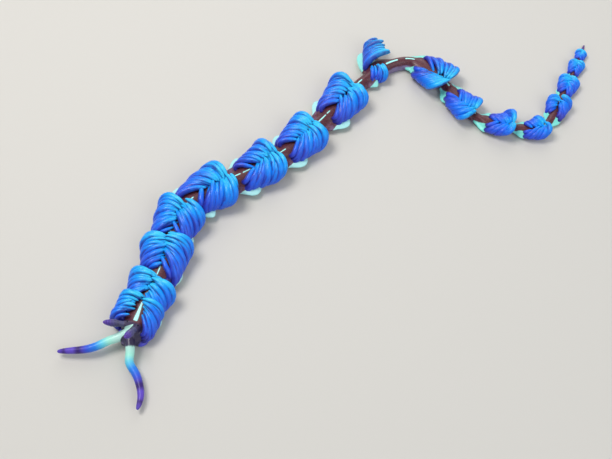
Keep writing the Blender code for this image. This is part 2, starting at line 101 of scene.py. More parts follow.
# %% Floor and lamps
FLOOR_SIZE = 3.0
FLOOR_DROP = 0.02
FLOOR_COLOUR = (0.62, 0.60, 0.56, 1.0)
FLOOR_ROUGHNESS = 0.9
SKY_COLOUR = (0.92, 0.95, 1.0, 1.0)
SKY_STRENGTH = 0.42
LAMPS = {
    "key": {"place": (-120.0, 60.0, 290.0), "size": 160.0, "watts": 0.62, "colour": (1.0, 0.98, 0.95)},
    "fill": {"place": (190.0, -160.0, 220.0), "size": 260.0, "watts": 0.28, "colour": (0.90, 0.96, 1.0)},
    "back": {"place": (40.0, 240.0, 160.0), "size": 220.0, "watts": 0.22, "colour": (1.0, 1.0, 1.0)},
}


def set_sockets(node, values):
    """Sets inputs of a node by name."""
    for name, value in values.items():
        node.inputs[name].default_value = value


floor_mesh = bpy.data.meshes.new("floor")
half = FLOOR_SIZE / 2
corners = [(x * half, y * half, -FLOOR_DROP * MM) for x, y in ((-1, -1), (1, -1), (1, 1), (-1, 1))]
floor_mesh.from_pydata(corners, [], [(0, 1, 2, 3)])
floor = new_object("floor", floor_mesh)
floor_finish = bpy.data.materials.new("pale_floor")
floor_finish.use_nodes = True
floor_shader = floor_finish.node_tree.nodes["Principled BSDF"]
set_sockets(floor_shader, {"Base Color": FLOOR_COLOUR, "Roughness": FLOOR_ROUGHNESS})
floor_mesh.materials.append(floor_finish)

for name, lamp in LAMPS.items():
    light = bpy.data.lights.new(name, "AREA")
    light.shape = "DISK"
    light.size = lamp["size"] * MM
    light.energy = lamp["watts"]
    light.color = lamp["colour"]
    made = new_object(name, light)
    made.location = Vector(lamp["place"]) * MM
    made.rotation_euler = Vector(lamp["place"]).to_track_quat("Z", "Y").to_euler()

world = bpy.data.worlds.new("studio")
world.use_nodes = True
set_sockets(world.node_tree.nodes["Background"], {"Color": SKY_COLOUR, "Strength": SKY_STRENGTH})
bpy.context.scene.world = world
bpy.context.scene.view_settings.view_transform = "Standard"
print("lamps:", ", ".join(LAMPS))

# %% [markdown]
# The body follows one line on the floor, the midline. A natural cubic spline through a few points bends as little
# as it can between them, which is how a crawling slug lies. Every later step asks this line for a place on the
# floor, the direction towards the tail and the direction to the slug's right.

# %% Midline of the body
ROUTE = (
    (-36.2, -25.3), (-34.9, -23.2), (-33.8, -19.6), (-31.5, -13.6), (-30.3, -7.1), (-27.1, -0.1), (-19.7, 4.7),
    (-12.0, 9.6), (-4.9, 16.6), (2.8, 25.8), (7.3, 29.6), (12.6, 31.1), (17.7, 27.4), (21.1, 21.7), (24.7, 18.0),
    (30.2, 16.4), (35.0, 15.9), (39.0, 20.9), (42.5, 27.4), (46.8, 36.6),
)
ROUTE_STEP = 0.25


def natural_spline(knots, values, places):
    """Reads a natural cubic spline through the values at the knots."""
    count = len(knots)
    spans = np.diff(knots)
    matrix = np.eye(count)
    target = np.zeros((count, values.shape[1]))
    for i in range(1, count - 1):
        matrix[i, i - 1:i + 2] = spans[i - 1], 2 * (spans[i - 1] + spans[i]), spans[i]
        target[i] = 6 * ((values[i + 1] - values[i]) / spans[i] - (values[i] - values[i - 1]) / spans[i - 1])
    bend = np.linalg.solve(matrix, target)
    i = np.clip(np.searchsorted(knots, places) - 1, 0, count - 2)
    span = spans[i][:, None]
    ahead = (knots[i + 1] - places)[:, None]
    behind = (places - knots[i])[:, None]
    curve = (bend[i] * ahead**3 + bend[i + 1] * behind**3) / (6 * span)
    line = (values[i] / span - bend[i] * span / 6) * ahead
    line += (values[i + 1] / span - bend[i + 1] * span / 6) * behind
    return curve + line


def smooth_line(points, step):
    """Points along a smooth curve through the given points, and their distances along it."""
    points = np.array(points, float)
    knots = np.concatenate([[0.0], np.cumsum(np.linalg.norm(np.diff(points, axis=0), axis=1))])
    line = natural_spline(knots, points, np.linspace(0, knots[-1], int(knots[-1] / step) + 1))
    return line, np.concatenate([[0.0], np.cumsum(np.linalg.norm(np.diff(line, axis=0), axis=1))])


MIDLINE, ALONG = smooth_line(ROUTE, ROUTE_STEP)


def unit(vectors):
    """The vectors at a length of 1."""
    return vectors / np.linalg.norm(vectors, axis=-1, keepdims=True)


def midline_frames(places):
    """Points on the floor, and level unit vectors towards the tail and to the slug's right, for many places."""
    places = np.asarray(places, float)
    inside = np.clip(places, ROUTE_STEP, ALONG[-1] - ROUTE_STEP)
    behind, ahead = (np.stack([np.interp(inside + step, ALONG, MIDLINE[:, k]) for k in (0, 1)], -1)
                     for step in (-ROUTE_STEP, ROUTE_STEP))
    back = unit(ahead - behind)
    point = (ahead + behind) / 2 + back * (places - inside)[..., None]
    level = np.zeros(places.shape + (1,))
    right = np.stack([-back[..., 1], back[..., 0]], -1)
    return (np.concatenate([value, level], -1) for value in (point, back, right))


def frame_at(place):
    """The same for one place."""
    return (value[0] for value in midline_frames([place]))


UP = np.array([0.0, 0.0, 1.0])
print("midline:", round(ALONG[-1], 1), "mm long")

# %% [markdown]
# The body's width and height change slowly from head to tail. A short table is enough: reading between its rows
# gives the rest.

# %% Width and height of the body
# Places along the midline, half widths and heights
BODY = np.array((
    (0.0, 1.60, 2.7), (2.0, 1.75, 3.1), (5.0, 1.60, 3.1), (10.0, 1.65, 3.2), (26.0, 1.60, 3.2), (46.0, 1.35, 2.8),
    (66.0, 1.20, 2.5), (83.0, 1.06, 2.2), (98.0, 0.76, 1.8), (111.0, 0.58, 1.4), (121.0, 0.46, 1.0),
    (127.0, 0.34, 0.8), (130.0, 0.28, 0.6), (131.4, 0.10, 0.24),
))


def value_at(steps, place):
    """Reads a value from steps that each give a place along the body and the value there."""
    return np.interp(place, *zip(*steps))


def body_size(places):
    """Half widths and heights of the body at many places."""
    return np.interp(places, BODY[:, 0], BODY[:, 1]), np.interp(places, BODY[:, 0], BODY[:, 2])


print("body:", round(2 * BODY[:, 1].max(), 1), "mm wide and", BODY[:, 2].max(), "mm high at most")

# %% [markdown]
# Where a cluster grows, the flank swells into a pad, called a lobe. Each lobe has its own place, size and outward
# lean, because no two clusters of the real slug are alike. The lobe of one far-leaning cluster, here called
# stacked, reaches out along the floor to carry it.

# %% Clusters and their lobes
# Each pair's right and left cluster, with its place along the midline, its size and how far it leans outwards
PAIRS = (
    ((3.8, 0.82, 1.6), (3.5, 0.72, 0.8)), ((7.7, 0.86, 0.3), (6.2, 0.88, 0.1)),
    ((14.2, 0.98, 0.0), (14.0, 0.98, 0.0)), ((21.0, 1.00, 0.0), (21.0, 1.00, 0.0)),
    ((28.3, 1.04, 0.3), (29.8, 1.05, 0.0)),
    ((39.2, 1.00, 0.0), (39.2, 1.00, 0.0)), ((48.6, 1.00, 0.0), (48.6, 1.00, 0.0)),
    ((59.7, 1.02, 0.0), (59.7, 1.04, 0.0)), ((72.2, 0.90, 4.6), (69.9, 0.50, -0.9)),
    ((82.0, 0.88, -0.1), (81.6, 1.00, 1.0)), ((90.2, 0.74, -0.3), (90.2, 0.78, 0.0)),
    ((98.8, 0.70, -0.5), (98.8, 0.68, 0.5)), ((105.3, 0.58, -0.2), (105.3, 0.58, 0.3)),
    ((112.4, 0.54, 0.0), (112.0, 0.60, 0.3)), ((118.6, 0.50, 0.0), (118.4, 0.54, 0.1)),
    ((123.8, 0.38, 0.0), (123.8, 0.38, 0.0)), ((127.5, 0.27, 0.0), (127.5, 0.27, 0.0)),
)
SIDES = {"right": 1, "left": -1}
STACKED_LEAN = 3.0
LOBE_LENGTH = 5.6
LOBE_OUT = 1.55
LOBE_REACH = 0.58
LOBE_ROUNDING = 1.3
LEDGE_OUT = 1.85
LEDGE_SHIFT = 0.40
LEDGE_REACH = 0.42
LEDGE_ROUNDING = 0.7
STACKED_LEDGE_OUT = 0.5
STACKED_LEDGE_SHIFT = 0.16
LEDGE_SHARES = ((5.0, 0.0), (6.0, 0.30), (13.0, 0.50), (21.0, 0.65), (30.0, 1.0), (66.0, 1.0), (82.0, 0.55))


def lobes(places, side):
    """How far the lobes push that side's flank out, and how far their thin edges stand out beside short fingers."""
    swelling, ledge = np.zeros_like(places), np.zeros_like(places)
    for pair in PAIRS:
        middle, size, lean = pair[side == "left"]
        inside = np.clip(1 - ((places - middle) / (LOBE_REACH * LOBE_LENGTH * size))**2, 0, None)
        swelling += LOBE_OUT * size * inside**LOBE_ROUNDING
        length = LOBE_LENGTH * size
        stacked = lean > STACKED_LEAN
        shift = STACKED_LEDGE_SHIFT if stacked else LEDGE_SHIFT
        out = LEDGE_OUT * size + STACKED_LEDGE_OUT * lean * stacked
        inside = np.clip(1 - ((places - middle + shift * length) / (LEDGE_REACH * length))**2, 0, None)
        ledge = np.maximum(ledge, out * value_at(LEDGE_SHARES, middle) * inside**LEDGE_ROUNDING)
    return swelling, ledge


print("clusters:", 2 * len(PAIRS), "on the lobes of both sides")

# %% [markdown]
# A section of the body is flat on the floor, widest below half height and a little narrower along the back. Its
# points are pushed out by the lobes, softly by the pad and sharply by the pad's thin edge.

# %% Sections of the body
WAIST = 0.46
SOLE_DROP = 1.65
BACK_NARROWING = 0.12
LOBE_FADE = 1.5
LEDGE_LEVEL = 0.40
LEDGE_THICKNESS = 0.15


def body_rings(places, sides):
    """One ring of points round the body at each place."""
    point, _, right = midline_frames(places)
    half_width, height = body_size(places)
    turn = 2 * np.pi * (np.arange(sides) + 0.5) / sides
    rise = np.sin(turn)
    out = half_width[:, None] * np.cos(turn) * (1 - BACK_NARROWING * rise)
    above = WAIST + (1 - WAIST) * rise
    below = np.maximum(0.0, WAIST * (1 + SOLE_DROP * rise))
    up = height[:, None] * np.where(rise > 0, above, below)
    pushed = np.abs(np.cos(turn))**LOBE_FADE * (up > 0)
    level = np.exp(-((up / height[:, None] - LEDGE_LEVEL) / LEDGE_THICKNESS)**2)
    right_push, left_push = (pushed * swelling[:, None] + level * ledge[:, None] * (up > 0)
                             for swelling, ledge in (lobes(places, side) for side in SIDES))
    out = out + np.where(out > 0, right_push, -left_push)
    return point[:, None] + right[:, None] * out[..., None] + UP * up[..., None]


section = body_rings(np.array([ALONG[-1] / 2]), 24)[0]
print("halfway along, a section is", round(section[:, 2].max(), 2), "mm high")

# %% [markdown]
# All of these forms are tubes: rings of points joined by four-sided faces, with a flat cap at each end. One helper
# makes the faces and one makes the mesh. A tube along a curve needs a pair of directions across it at each point,
# and carrying the same pair on from point to point keeps the tube from twisting. Lips and eyes are eggs, which are
# tubes whose rings shrink at both ends.

# %% Helpers for tubes
def tube_faces(rings, sides, first=0):
    """Faces of a closed tube whose points start at index first."""
    ring, side = np.meshgrid(np.arange(rings - 1), np.arange(sides), indexing="ij")
    after = (side + 1) % sides
    here, there = ring * sides, (ring + 1) * sides
    quads = np.stack([here + side, here + after, there + after, there + side], -1).reshape(-1, 4) + first
    last = first + (rings - 1) * sides
    caps = [tuple(reversed(range(first, first + sides))), tuple(range(last, last + sides))]
    return [tuple(quad) for quad in quads.tolist()] + caps


def ring_angles(sides):
    """The angle of each point of a ring."""
    return 2 * np.pi * np.arange(sides) / sides


def rings_along(line, radii, sides):
    """Round rings of points along a line, with the given radii."""
    line = np.array(line, float)
    headings = unit(np.gradient(line, axis=0))
    across = np.cross(headings[0], UP)
    turn = ring_angles(sides)[:, None]
    rings = []
    for point, heading, radius in zip(line, headings, radii):
        across = across - heading * (across @ heading)
        across /= np.linalg.norm(across)
        over = np.cross(across, heading)
        rings.append(point + radius * (np.cos(turn) * across + np.sin(turn) * over))
    return np.array(rings)


def egg_rings(centre, axes, radii, rings, sides, pole):
    """Level rings of an egg from its foot to its top, with radii along two level axes and upwards."""
    turn = ring_angles(sides)[:, None]
    level = np.cos(turn) * axes[0] * radii[0] + np.sin(turn) * axes[1] * radii[1]
    angles = np.linspace(pole, np.pi - pole, rings)
    return np.array([centre - UP * radii[2] * math.cos(angle) + math.sin(angle) * level for angle in angles])


def rounded_end(shares, power, least):
    """How much of its radius a tube keeps at each share of its length, so that it ends in a dome."""
    return np.sqrt(np.clip(1 - shares**power, least, 1))


def new_piece(name, points, faces):
    """A smooth mesh object from points in millimetres."""
    mesh = bpy.data.meshes.new(name)
    mesh.from_pydata((np.asarray(points).reshape(-1, 3) * MM).tolist(), [], faces)
    mesh.shade_smooth()
    return new_object(name, mesh)


def line_at(points, radii, places):
    """Points and radii at shares from 0 to 1 of a smooth line."""
    line, along = smooth_line(points, ROUTE_STEP / 2)
    middle = np.stack([np.interp(np.asarray(places) * along[-1], along, line[:, k]) for k in range(3)], 1)
    return middle, np.interp(places, np.linspace(0, 1, len(radii)), radii)


print("a tube of 3 rings with 8 points each has", len(tube_faces(3, 8)), "faces")

# %% [markdown]
# The skin is built the way a sculptor adds clay: body, rounded head, lips, two oral tentacles, the rhinophores'
# sockets and the pointed corners of the foot are separate closed tubes that overlap. A voxel remesh then turns them
# into one surface, and a few rounds of smoothing melt the joints.

# %% Parts of the skin
BODY_SIDES = 72
BODY_STEP = 0.16
HEAD_RINGS = 22
HEAD_FIRST_TURN = 0.03
HEAD_FRONT = -0.35
HEAD_ROUNDING = 1.9
HEAD_LEVEL = 1.55
HEAD_FULLNESS = 0.85
TAIL_TIP = 131.2
TENTACLE_LINES = {
    "right": (
        (-36.1, -24.1, 2.00), (-37.2, -24.8, 2.10), (-38.6, -25.3, 2.00), (-40.1, -26.0, 1.85),
        (-41.7, -26.5, 1.65), (-44.3, -26.7, 1.35), (-46.9, -26.8, 1.15),
    ),
    "left": (
        (-35.4, -24.7, 2.00), (-35.2, -25.9, 2.05), (-35.1, -27.3, 1.85), (-35.1, -28.7, 1.65),
        (-34.2, -30.2, 1.45), (-33.3, -32.1, 1.30), (-32.9, -34.3, 1.20), (-33.3, -36.3, 1.15),
    ),
}
TENTACLE_RADII = (0.82, 0.76, 0.71, 0.69, 0.67, 0.63, 0.57, 0.49, 0.38)
TENTACLE_SIDES = 24
TENTACLE_RINGS = 70
# Places along the midline, distances to the side and up, and radii
FOOT_CORNER = ((1.2, 0.9, 0.45, 0.45), (1.1, 1.7, 0.45, 0.42), (1.5, 2.3, 0.42, 0.34), (2.3, 2.7, 0.36, 0.18))
RHINOPHORE_LINES = {
    "right": ((-35.4, -22.8, 2.6), (-39.1, -23.4, 5.2)),
    "left": ((-34.2, -23.3, 2.6), (-35.2, -26.3, 6.1)),
}
SOCKET_SPAN = (-0.6, 1.25)
SOCKET_RADII = (0.95, 0.52)
SOCKET_RINGS = 12
CORNER_RINGS = 24
SMALL_SIDES = 20


def corner_line(side):
    """Points along the pointed corner of the foot on that side."""
    point, _, right = midline_frames([row[0] for row in FOOT_CORNER])
    return [p + r * SIDES[side] * row[1] + UP * row[2] for p, r, row in zip(point, right, FOOT_CORNER)]


turns = np.linspace(HEAD_FIRST_TURN, 1.0, HEAD_RINGS) * np.pi / 2
front_places = HEAD_FRONT + HEAD_ROUNDING * (1 - np.cos(turns))
front_axis = next(midline_frames(front_places)) + UP * HEAD_LEVEL
front_rings = body_rings(front_places, BODY_SIDES) - front_axis[:, None]
front_rings = front_axis[:, None] + front_rings * (np.sin(turns)**HEAD_FULLNESS)[:, None, None]
trunk_places = np.arange(front_places[-1] + BODY_STEP, TAIL_TIP, BODY_STEP)
body_points = np.concatenate([front_rings, body_rings(trunk_places, BODY_SIDES)])
print("body:", len(body_points), "rings of", BODY_SIDES, "points")

parts = [body_points]
for side in SIDES:
    shares = np.linspace(0, 1, TENTACLE_RINGS)
    line, radii = line_at(TENTACLE_LINES[side], TENTACLE_RADII, shares)
    parts.append(rings_along(line, radii * rounded_end(shares, power=24, least=0.002), TENTACLE_SIDES))
    shares = np.linspace(0, 1, CORNER_RINGS)
    line, radii = line_at(corner_line(side), [row[3] for row in FOOT_CORNER], shares)
    parts.append(rings_along(line, radii * rounded_end(shares, power=12, least=0.01), SMALL_SIDES))
    root, top = (np.array(place) for place in RHINOPHORE_LINES[side])
    socket = (top - root) / np.linalg.norm(top - root)
    line = [root + socket * length for length in np.linspace(*SOCKET_SPAN, SOCKET_RINGS)]
    parts.append(rings_along(line, np.linspace(*SOCKET_RADII, SOCKET_RINGS), SMALL_SIDES))
print("forms to fuse:", len(parts))

# %% [markdown]
# The mouth of this slug opens between the tentacles, low on the front of the head. Two lips stand round an upright
# slit. The lips are an egg of clay that is fused with the rest, and the slit is pressed in afterwards by moving the
# fused surface's points back, deepest in the middle. The remesh works on forms of everyday size, so up to then the
# skin's millimetres stand as if they were metres.

# %% Lips, then one fused surface
LIP_SIZE = (0.46, 0.56, 0.74)
LIP_PLACE = 0.30
LIP_LEVEL = 1.20
LIP_RINGS = 20
LIP_SIDES = 24
LIP_POLE = 0.02
VOXEL = 0.11
SMOOTHING = 5

foremost, back, right = frame_at(HEAD_FRONT)
lip_centre = foremost + back * LIP_PLACE + UP * LIP_LEVEL
parts.append(egg_rings(lip_centre, (back, right), LIP_SIZE, LIP_RINGS, LIP_SIDES, LIP_POLE))

points, faces, first = [], [], 0
for rings in parts:
    faces += tube_faces(*rings.shape[:2], first)
    points.append(rings.reshape(-1, 3))
    first += len(points[-1])
skin = new_piece("skin", np.concatenate(points) / MM, faces)
remesh = skin.modifiers.new("fuse", "REMESH")
remesh.mode = "VOXEL"
remesh.voxel_size = VOXEL
melt = skin.modifiers.new("melt", "SMOOTH")
melt.factor = 0.5
melt.iterations = SMOOTHING
fused = bpy.data.meshes.new_from_object(skin.evaluated_get(bpy.context.evaluated_depsgraph_get()))
skin.modifiers.clear()
skin.data = fused
print("skin:", len(fused.polygons), "faces")

# %% [markdown]
# Every marking of this slug has its place on the body, so the colours need to know where each point of the skin
# lies. A search tree finds the nearest point of the midline, and the rest is simple projection: a place along the
# body, a distance to the right, and a height. The same is done for the two tentacles.

# %% Where each point of the skin lies
LINE_STEP = 0.1


def nearest_places(points, line):
    """Index of the nearest point of a line for each of many points, and the distances."""
    tree = kdtree.KDTree(len(line))
    for i, place in enumerate(line):
        tree.insert(place, i)
    tree.balance()
    found = [tree.find(point) for point in points]
    return np.array([hit[1] for hit in found]), np.array([hit[2] for hit in found])


skin_points = np.empty(len(fused.vertices) * 3)
fused.vertices.foreach_get("co", skin_points)
skin_points = skin_points.reshape(-1, 3)
line_places = np.arange(HEAD_FRONT, TAIL_TIP, LINE_STEP)
line_points, line_back, line_right = midline_frames(line_places)
level_points = skin_points * (1, 1, 0)
index, _ = nearest_places(level_points, line_points)
offset = level_points - line_points[index]
skin_along = line_places[index] + np.sum(offset * line_back[index], 1)
skin_out = np.sum(offset * line_right[index], 1)
skin_up = skin_points[:, 2]
skin_half, skin_height = body_size(skin_along)
print("skin reaches", round(skin_along.min(), 2), "to", round(skin_along.max(), 2), "mm along the midline")

# %% [markdown]
# Masks are numbers from 0 to 1 that say how strongly a marking shows at a point. They are stored on the mesh as
# attributes, and the material reads them by name. Soft steps of distances make them, so a marking keeps its place
# when the body's shape is changed. The first mask holds the pale dashes along the spine, with the bold wedge behind
# the head.

# %% Dashes along the spine
# Starts and ends along the midline, and the half widths at both
DASHES = (
    (3.4, 6.8, 0.36, 0.13), (7.8, 8.5, 0.10, 0.09), (9.6, 14.0, 0.11, 0.09), (15.2, 16.9, 0.11, 0.10),
    (19.2, 20.6, 0.11, 0.09), (26.2, 27.7, 0.12, 0.11), (35.4, 37.0, 0.12, 0.11), (37.4, 38.9, 0.11, 0.10),
    (45.0, 46.4, 0.10, 0.10), (54.4, 56.8, 0.12, 0.11), (57.1, 58.0, 0.10, 0.09), (66.0, 67.4, 0.11, 0.10),
    (73.4, 75.9, 0.20, 0.15), (77.4, 79.2, 0.14, 0.11), (85.3, 88.0, 0.20, 0.14), (94.3, 95.6, 0.13, 0.11),
    (101.6, 103.2, 0.15, 0.12), (108.0, 109.6, 0.14, 0.11), (115.0, 116.0, 0.11, 0.09), (121.0, 121.9, 0.09, 0.08),
)
EDGE = 0.10
BACK_LEVEL = 0.72
SOFT = 0.3
SOFTER = 0.5


def soft_step(values, edge, width):
    """0 below the edge and 1 above it, with a smooth change over the width."""
    share = np.clip((values - edge) / width + 0.5, 0, 1)
    return share * share * (3 - 2 * share)


def window(values, low, high, width):
    """1 between low and high, with soft ends."""
    return soft_step(values, low, width) * soft_step(-values, -high, width)


def keep_mask(piece, name, values):
    """Stores numbers on a piece's points."""
    layer = piece.data.attributes.new(name, "FLOAT", "POINT")
    layer.data.foreach_set("value", np.asarray(values, np.float32))


blank = spine = np.zeros(len(skin_points))
on_back = soft_step(skin_up, BACK_LEVEL * skin_height, SOFT)
for start, end, first_half, last_half in DASHES:
    half = np.interp(skin_along, (start, end), (first_half, last_half))
    dash = window(skin_along, start, end, 3 * EDGE) * soft_step(half - np.abs(skin_out), 0.0, 2 * EDGE)
    spine = np.maximum(spine, dash * on_back)
print("dashes:", len(DASHES), "over", int((spine > 0.5).sum()), "points")

# %% [markdown]
# A mint patch marks the outer edge of each lobe, apart from the first pair's. Its mask is a window along the body
# times soft steps outwards and upwards.

# %% Patches on the lobes
PATCH_SPAN = (-0.80, 0.06)
PATCH_INNER = ((66.0, 0.75), (82.0, 0.10))
PATCH_LEVEL = 0.16
PATCH_SOFTNESS = 0.8
FIRST_PATCH = 6.0

rim = blank
flank = np.abs(skin_out) - skin_half
for pair in PAIRS:
    for side, (middle, size, _) in zip(SIDES, pair):
        start, end = (middle + share * LOBE_LENGTH * size for share in PATCH_SPAN)
        patch = window(skin_along, start, end, PATCH_SOFTNESS) * (middle > FIRST_PATCH)
        inner = value_at(PATCH_INNER, middle) * LOBE_OUT * size
        patch = patch * soft_step(flank, inner, PATCH_SOFTNESS / 2) * (np.sign(skin_out) == SIDES[side])
        rim = np.maximum(rim, patch * soft_step(skin_up, PATCH_LEVEL * skin_height, SOFT))
print("mint patches over", int((rim > 0.5).sum()), "points")

# %% [markdown]
# A tentacle's colours follow the place along it, so that place is kept as well. A pale band runs from between the
# rhinophores onto the right tentacle, along a short line of its own.

# %% Tentacles and the pale band
TENTACLE_REACH = 1.0
TENTACLE_INSIDE = 0.9
TENTACLE_STARTS = {"right": 1.2, "left": 1.6}
BAND_START = 2.6
BAND_ENDS = ((-36.9, -24.5, 0.0), (-37.7, -25.2, 0.0))
BAND_STEPS = (0, 1, 2)
BAND_POINTS = 60
BAND_HALVES = (0.10, 0.62, 0.95)
BAND_LEVEL = 1.7
BAND_STOP = 1.85

tentacle_place = on_tentacle = blank
for side in SIDES:
    line, along = smooth_line(TENTACLE_LINES[side], LINE_STEP)
    hits, gaps = nearest_places(skin_points, line)
    near = (gaps < TENTACLE_REACH) & (along[hits] > TENTACLE_INSIDE)
    tentacle_place = np.where(near, along[hits] / along[-1], tentacle_place)
    on_tentacle = np.where(near, soft_step(along[hits], TENTACLE_STARTS[side], 3 * SOFT), on_tentacle)

band_line = np.concatenate([next(midline_frames([BAND_START])), BAND_ENDS])
steps = np.linspace(BAND_STEPS[0], BAND_STEPS[-1], BAND_POINTS)
band_points = np.stack([np.interp(steps, BAND_STEPS, band_line[:, k]) for k in range(3)], 1)
hits, gaps = nearest_places(level_points, band_points)
band = soft_step(np.interp(steps[hits], BAND_STEPS, BAND_HALVES) - gaps, 0.0, 2 * EDGE)
band = band * soft_step(skin_up, BAND_LEVEL, SOFTER) * soft_step(-steps[hits], -BAND_STOP, SOFT)
print("pale band over", int((band > 0.5).sum()), "points")

# %% [markdown]
# The last masks hold the grey stretch of the left flank that no cluster covers, the blue corners of the foot, and
# what the finish needs to know of the place on the body. Then all of them are stored on the skin.

# %% Bare flank, foot corners and storing the masks
BARE_FLANK = (72.5, 79.5)
BARE_LEVEL = 0.66
CORNER_REACH = 0.62
CORNER_OUT = 1.9
CORNER_FADE = 0.7
HEAD_END = 3.2
HEAD_FADE = 1.6

bare_flank = window(skin_along, *BARE_FLANK, 5 * SOFT) * (skin_out < 0)
bare_flank = bare_flank * soft_step(-skin_up, -BARE_LEVEL * skin_height, SOFTER)
corner_blue = blank
for side in SIDES:
    hits, gaps = nearest_places(skin_points, smooth_line(corner_line(side), LINE_STEP)[0])
    patch = soft_step(-gaps, -CORNER_REACH, SOFT) * soft_step(np.abs(skin_out), CORNER_OUT, CORNER_FADE)
    corner_blue = np.maximum(corner_blue, patch)

skin_masks = {
    "spine": spine, "rim": rim, "tentacle_place": tentacle_place, "on_tentacle": on_tentacle, "band": band,
    "up_share": skin_up / skin_height, "corner_blue": corner_blue, "bare_flank": bare_flank,
    "headness": soft_step(-skin_along, -HEAD_END, HEAD_FADE), "body_place": skin_along / ALONG[-1],
}
for name, values in skin_masks.items():
    keep_mask(skin, name, values)
print("masks on the skin:", ", ".join(skin_masks))

# %% [markdown]
# The slit of the mouth is pressed in now, with the places known. Points near the slit's plane move back along the
# body, by an amount that fades to nothing at its rim, and a soft ring round them moves forwards to form the lips.

# %% Mouth slit
SLIT_HALF_WIDTH = 0.14
SLIT_HALF_HEIGHT = 0.50
SLIT_DEPTH = 0.42
LIP_RISE = 0.17
LIP_RING = (0.36, 0.64)
LIP_SOFTNESS = 0.40
MOUTH_REACH = 1.2

to_front = skin_points - (foremost + UP * LIP_LEVEL)
at_mouth = np.abs(to_front @ back) < MOUTH_REACH
sideways, upright = to_front @ right, to_front[:, 2]
pressed = np.clip(1 - (sideways / SLIT_HALF_WIDTH)**2, 0, 1) * at_mouth
pressed = pressed * np.clip(1 - (upright / SLIT_HALF_HEIGHT)**2, 0, 1)
from_slit = np.sqrt((sideways / LIP_RING[0])**2 + (upright / LIP_RING[1])**2)
lips = np.exp(-((from_slit - 1) / LIP_SOFTNESS)**2) * at_mouth
skin_points = skin_points + (pressed * SLIT_DEPTH - lips * LIP_RISE)[:, None] * back
# The slit mask places the painted shade inside the mouth slit, deepest in the middle
keep_mask(skin, "slit", np.sqrt(pressed))
keep_mask(skin, "lips", lips)
fused.vertices.foreach_set("co", (skin_points * MM).ravel())
fused.update()
fused.shade_smooth()
print("slit:", int((pressed > 0).sum()), "points pressed back")

# %% [markdown]
# Wet living skin is never one flat colour. One node group, used by every finish of the slug, puts out a soft
# mottling and a fine grain, each at a scale that the material sets. A group like this is built once, its sockets
# are made with interface.new_socket, and it hands on only values that change over the surface.

# %% Shared group for mottled wet skin
GROUP_SOCKETS = {"Blotch Scale": "INPUT", "Grain Scale": "INPUT", "Blotches": "OUTPUT", "Grain": "OUTPUT"}


def add_node(tree, kind, **values):
    """Adds a node and sets its properties and its sockets by name."""
    node = tree.nodes.new(kind)
    for name, value in values.items():
        if name in node.bl_rna.properties:
            setattr(node, name, value)
        else:
            set_sockets(node, {name.replace("_", " "): value})
    return node


def stretched(tree, value, low, high, most=1.0, way="SMOOTHSTEP"):
    """Stretches a value so that it is 0 at the low end and the given most at the high end."""
    node = add_node(tree, "ShaderNodeMapRange", interpolation_type=way, From_Min=low, From_Max=high, To_Max=most)
    tree.links.new(value, node.inputs["Value"])
    return node.outputs["Result"]


mottle = bpy.data.node_groups.new("mottled_skin", "ShaderNodeTree")
for name, direction in GROUP_SOCKETS.items():
    mottle.interface.new_socket(name=name, in_out=direction, socket_type="NodeSocketFloat")
group_in = add_node(mottle, "NodeGroupInput")
group_out = add_node(mottle, "NodeGroupOutput")
where = add_node(mottle, "ShaderNodeTexCoord")
blotch = add_node(mottle, "ShaderNodeTexNoise", Detail=3.0, Roughness=0.55, Distortion=0.3)
grain = add_node(mottle, "ShaderNodeTexNoise", Detail=2.0, Roughness=0.6)
for node, scale in ((blotch, "Blotch Scale"), (grain, "Grain Scale")):
    mottle.links.new(where.outputs["Object"], node.inputs["Vector"])
    mottle.links.new(group_in.outputs[scale], node.inputs["Scale"])
mottle.links.new(stretched(mottle, blotch.outputs["Fac"], 0.38, 0.64), group_out.inputs["Blotches"])
mottle.links.new(grain.outputs["Fac"], group_out.inputs["Grain"])
print("group:", mottle.name, [item.name for item in mottle.interface.items_tree])

# %% [markdown]
# Wet flesh is a dull surface under a thin clear coat. Every finish of the slug starts from one helper, which places
# the shared group and a slight relief, with numbers from one table. The other helpers read a mask from the mesh,
# mix one colour over another where a mask is high, and turn a value into steps of colour.

# %% Helpers for finishes
FLESH_IOR = 1.40
# Roughness, coat and its roughness, scales of blotches and grain, strength and depth in millimetres of the relief
FINISHES = {
    "slug_skin": (0.42, 0.25, 0.18, 1100.0, 5200.0, 0.35, 0.02),
    "cerata_blue": (0.40, 0.18, 0.20, 700.0, 6000.0, 0.25, 0.015),
    "rhinophore_slate": (0.40, 0.25, 0.18, 1500.0, 7000.0, 0.3, 0.015),
    "eye_black": (0.12, 0.6, 0.05, 4000.0, 9000.0, 0.0, 0.0),
}


def linear(red, green, blue):
    """A colour as it looks on a screen, from 0 to 255, in the linear values that Blender mixes."""
    shares = [channel / 255 for channel in (red, green, blue)]
    return [c / 12.92 if c <= 0.04045 else ((c + 0.055) / 1.055)**2.4 for c in shares] + [1.0]


def wet_material(name):
    """A new wet finish from the table: material, tree, Principled shader and the shared group with its scales."""
    *shine, blotches, grains, relief, depth = FINISHES[name]
    made = bpy.data.materials.new(name)
    made.use_nodes = True
    tree = made.node_tree
    shader = tree.nodes["Principled BSDF"]
    set_sockets(shader, dict(zip(("IOR", "Roughness", "Coat Weight", "Coat Roughness"), (FLESH_IOR, *shine))))
    group = add_node(tree, "ShaderNodeGroup", node_tree=mottle, Blotch_Scale=blotches, Grain_Scale=grains)
    if relief:
        bump = add_node(tree, "ShaderNodeBump", Strength=relief, Distance=depth * MM)
        tree.links.new(group.outputs["Grain"], bump.inputs["Height"])
        tree.links.new(bump.outputs["Normal"], shader.inputs["Normal"])
    return made, tree, shader, group


def mask(tree, name):
    """Reads a mask from the mesh."""
    return add_node(tree, "ShaderNodeAttribute", attribute_name=name).outputs["Fac"]


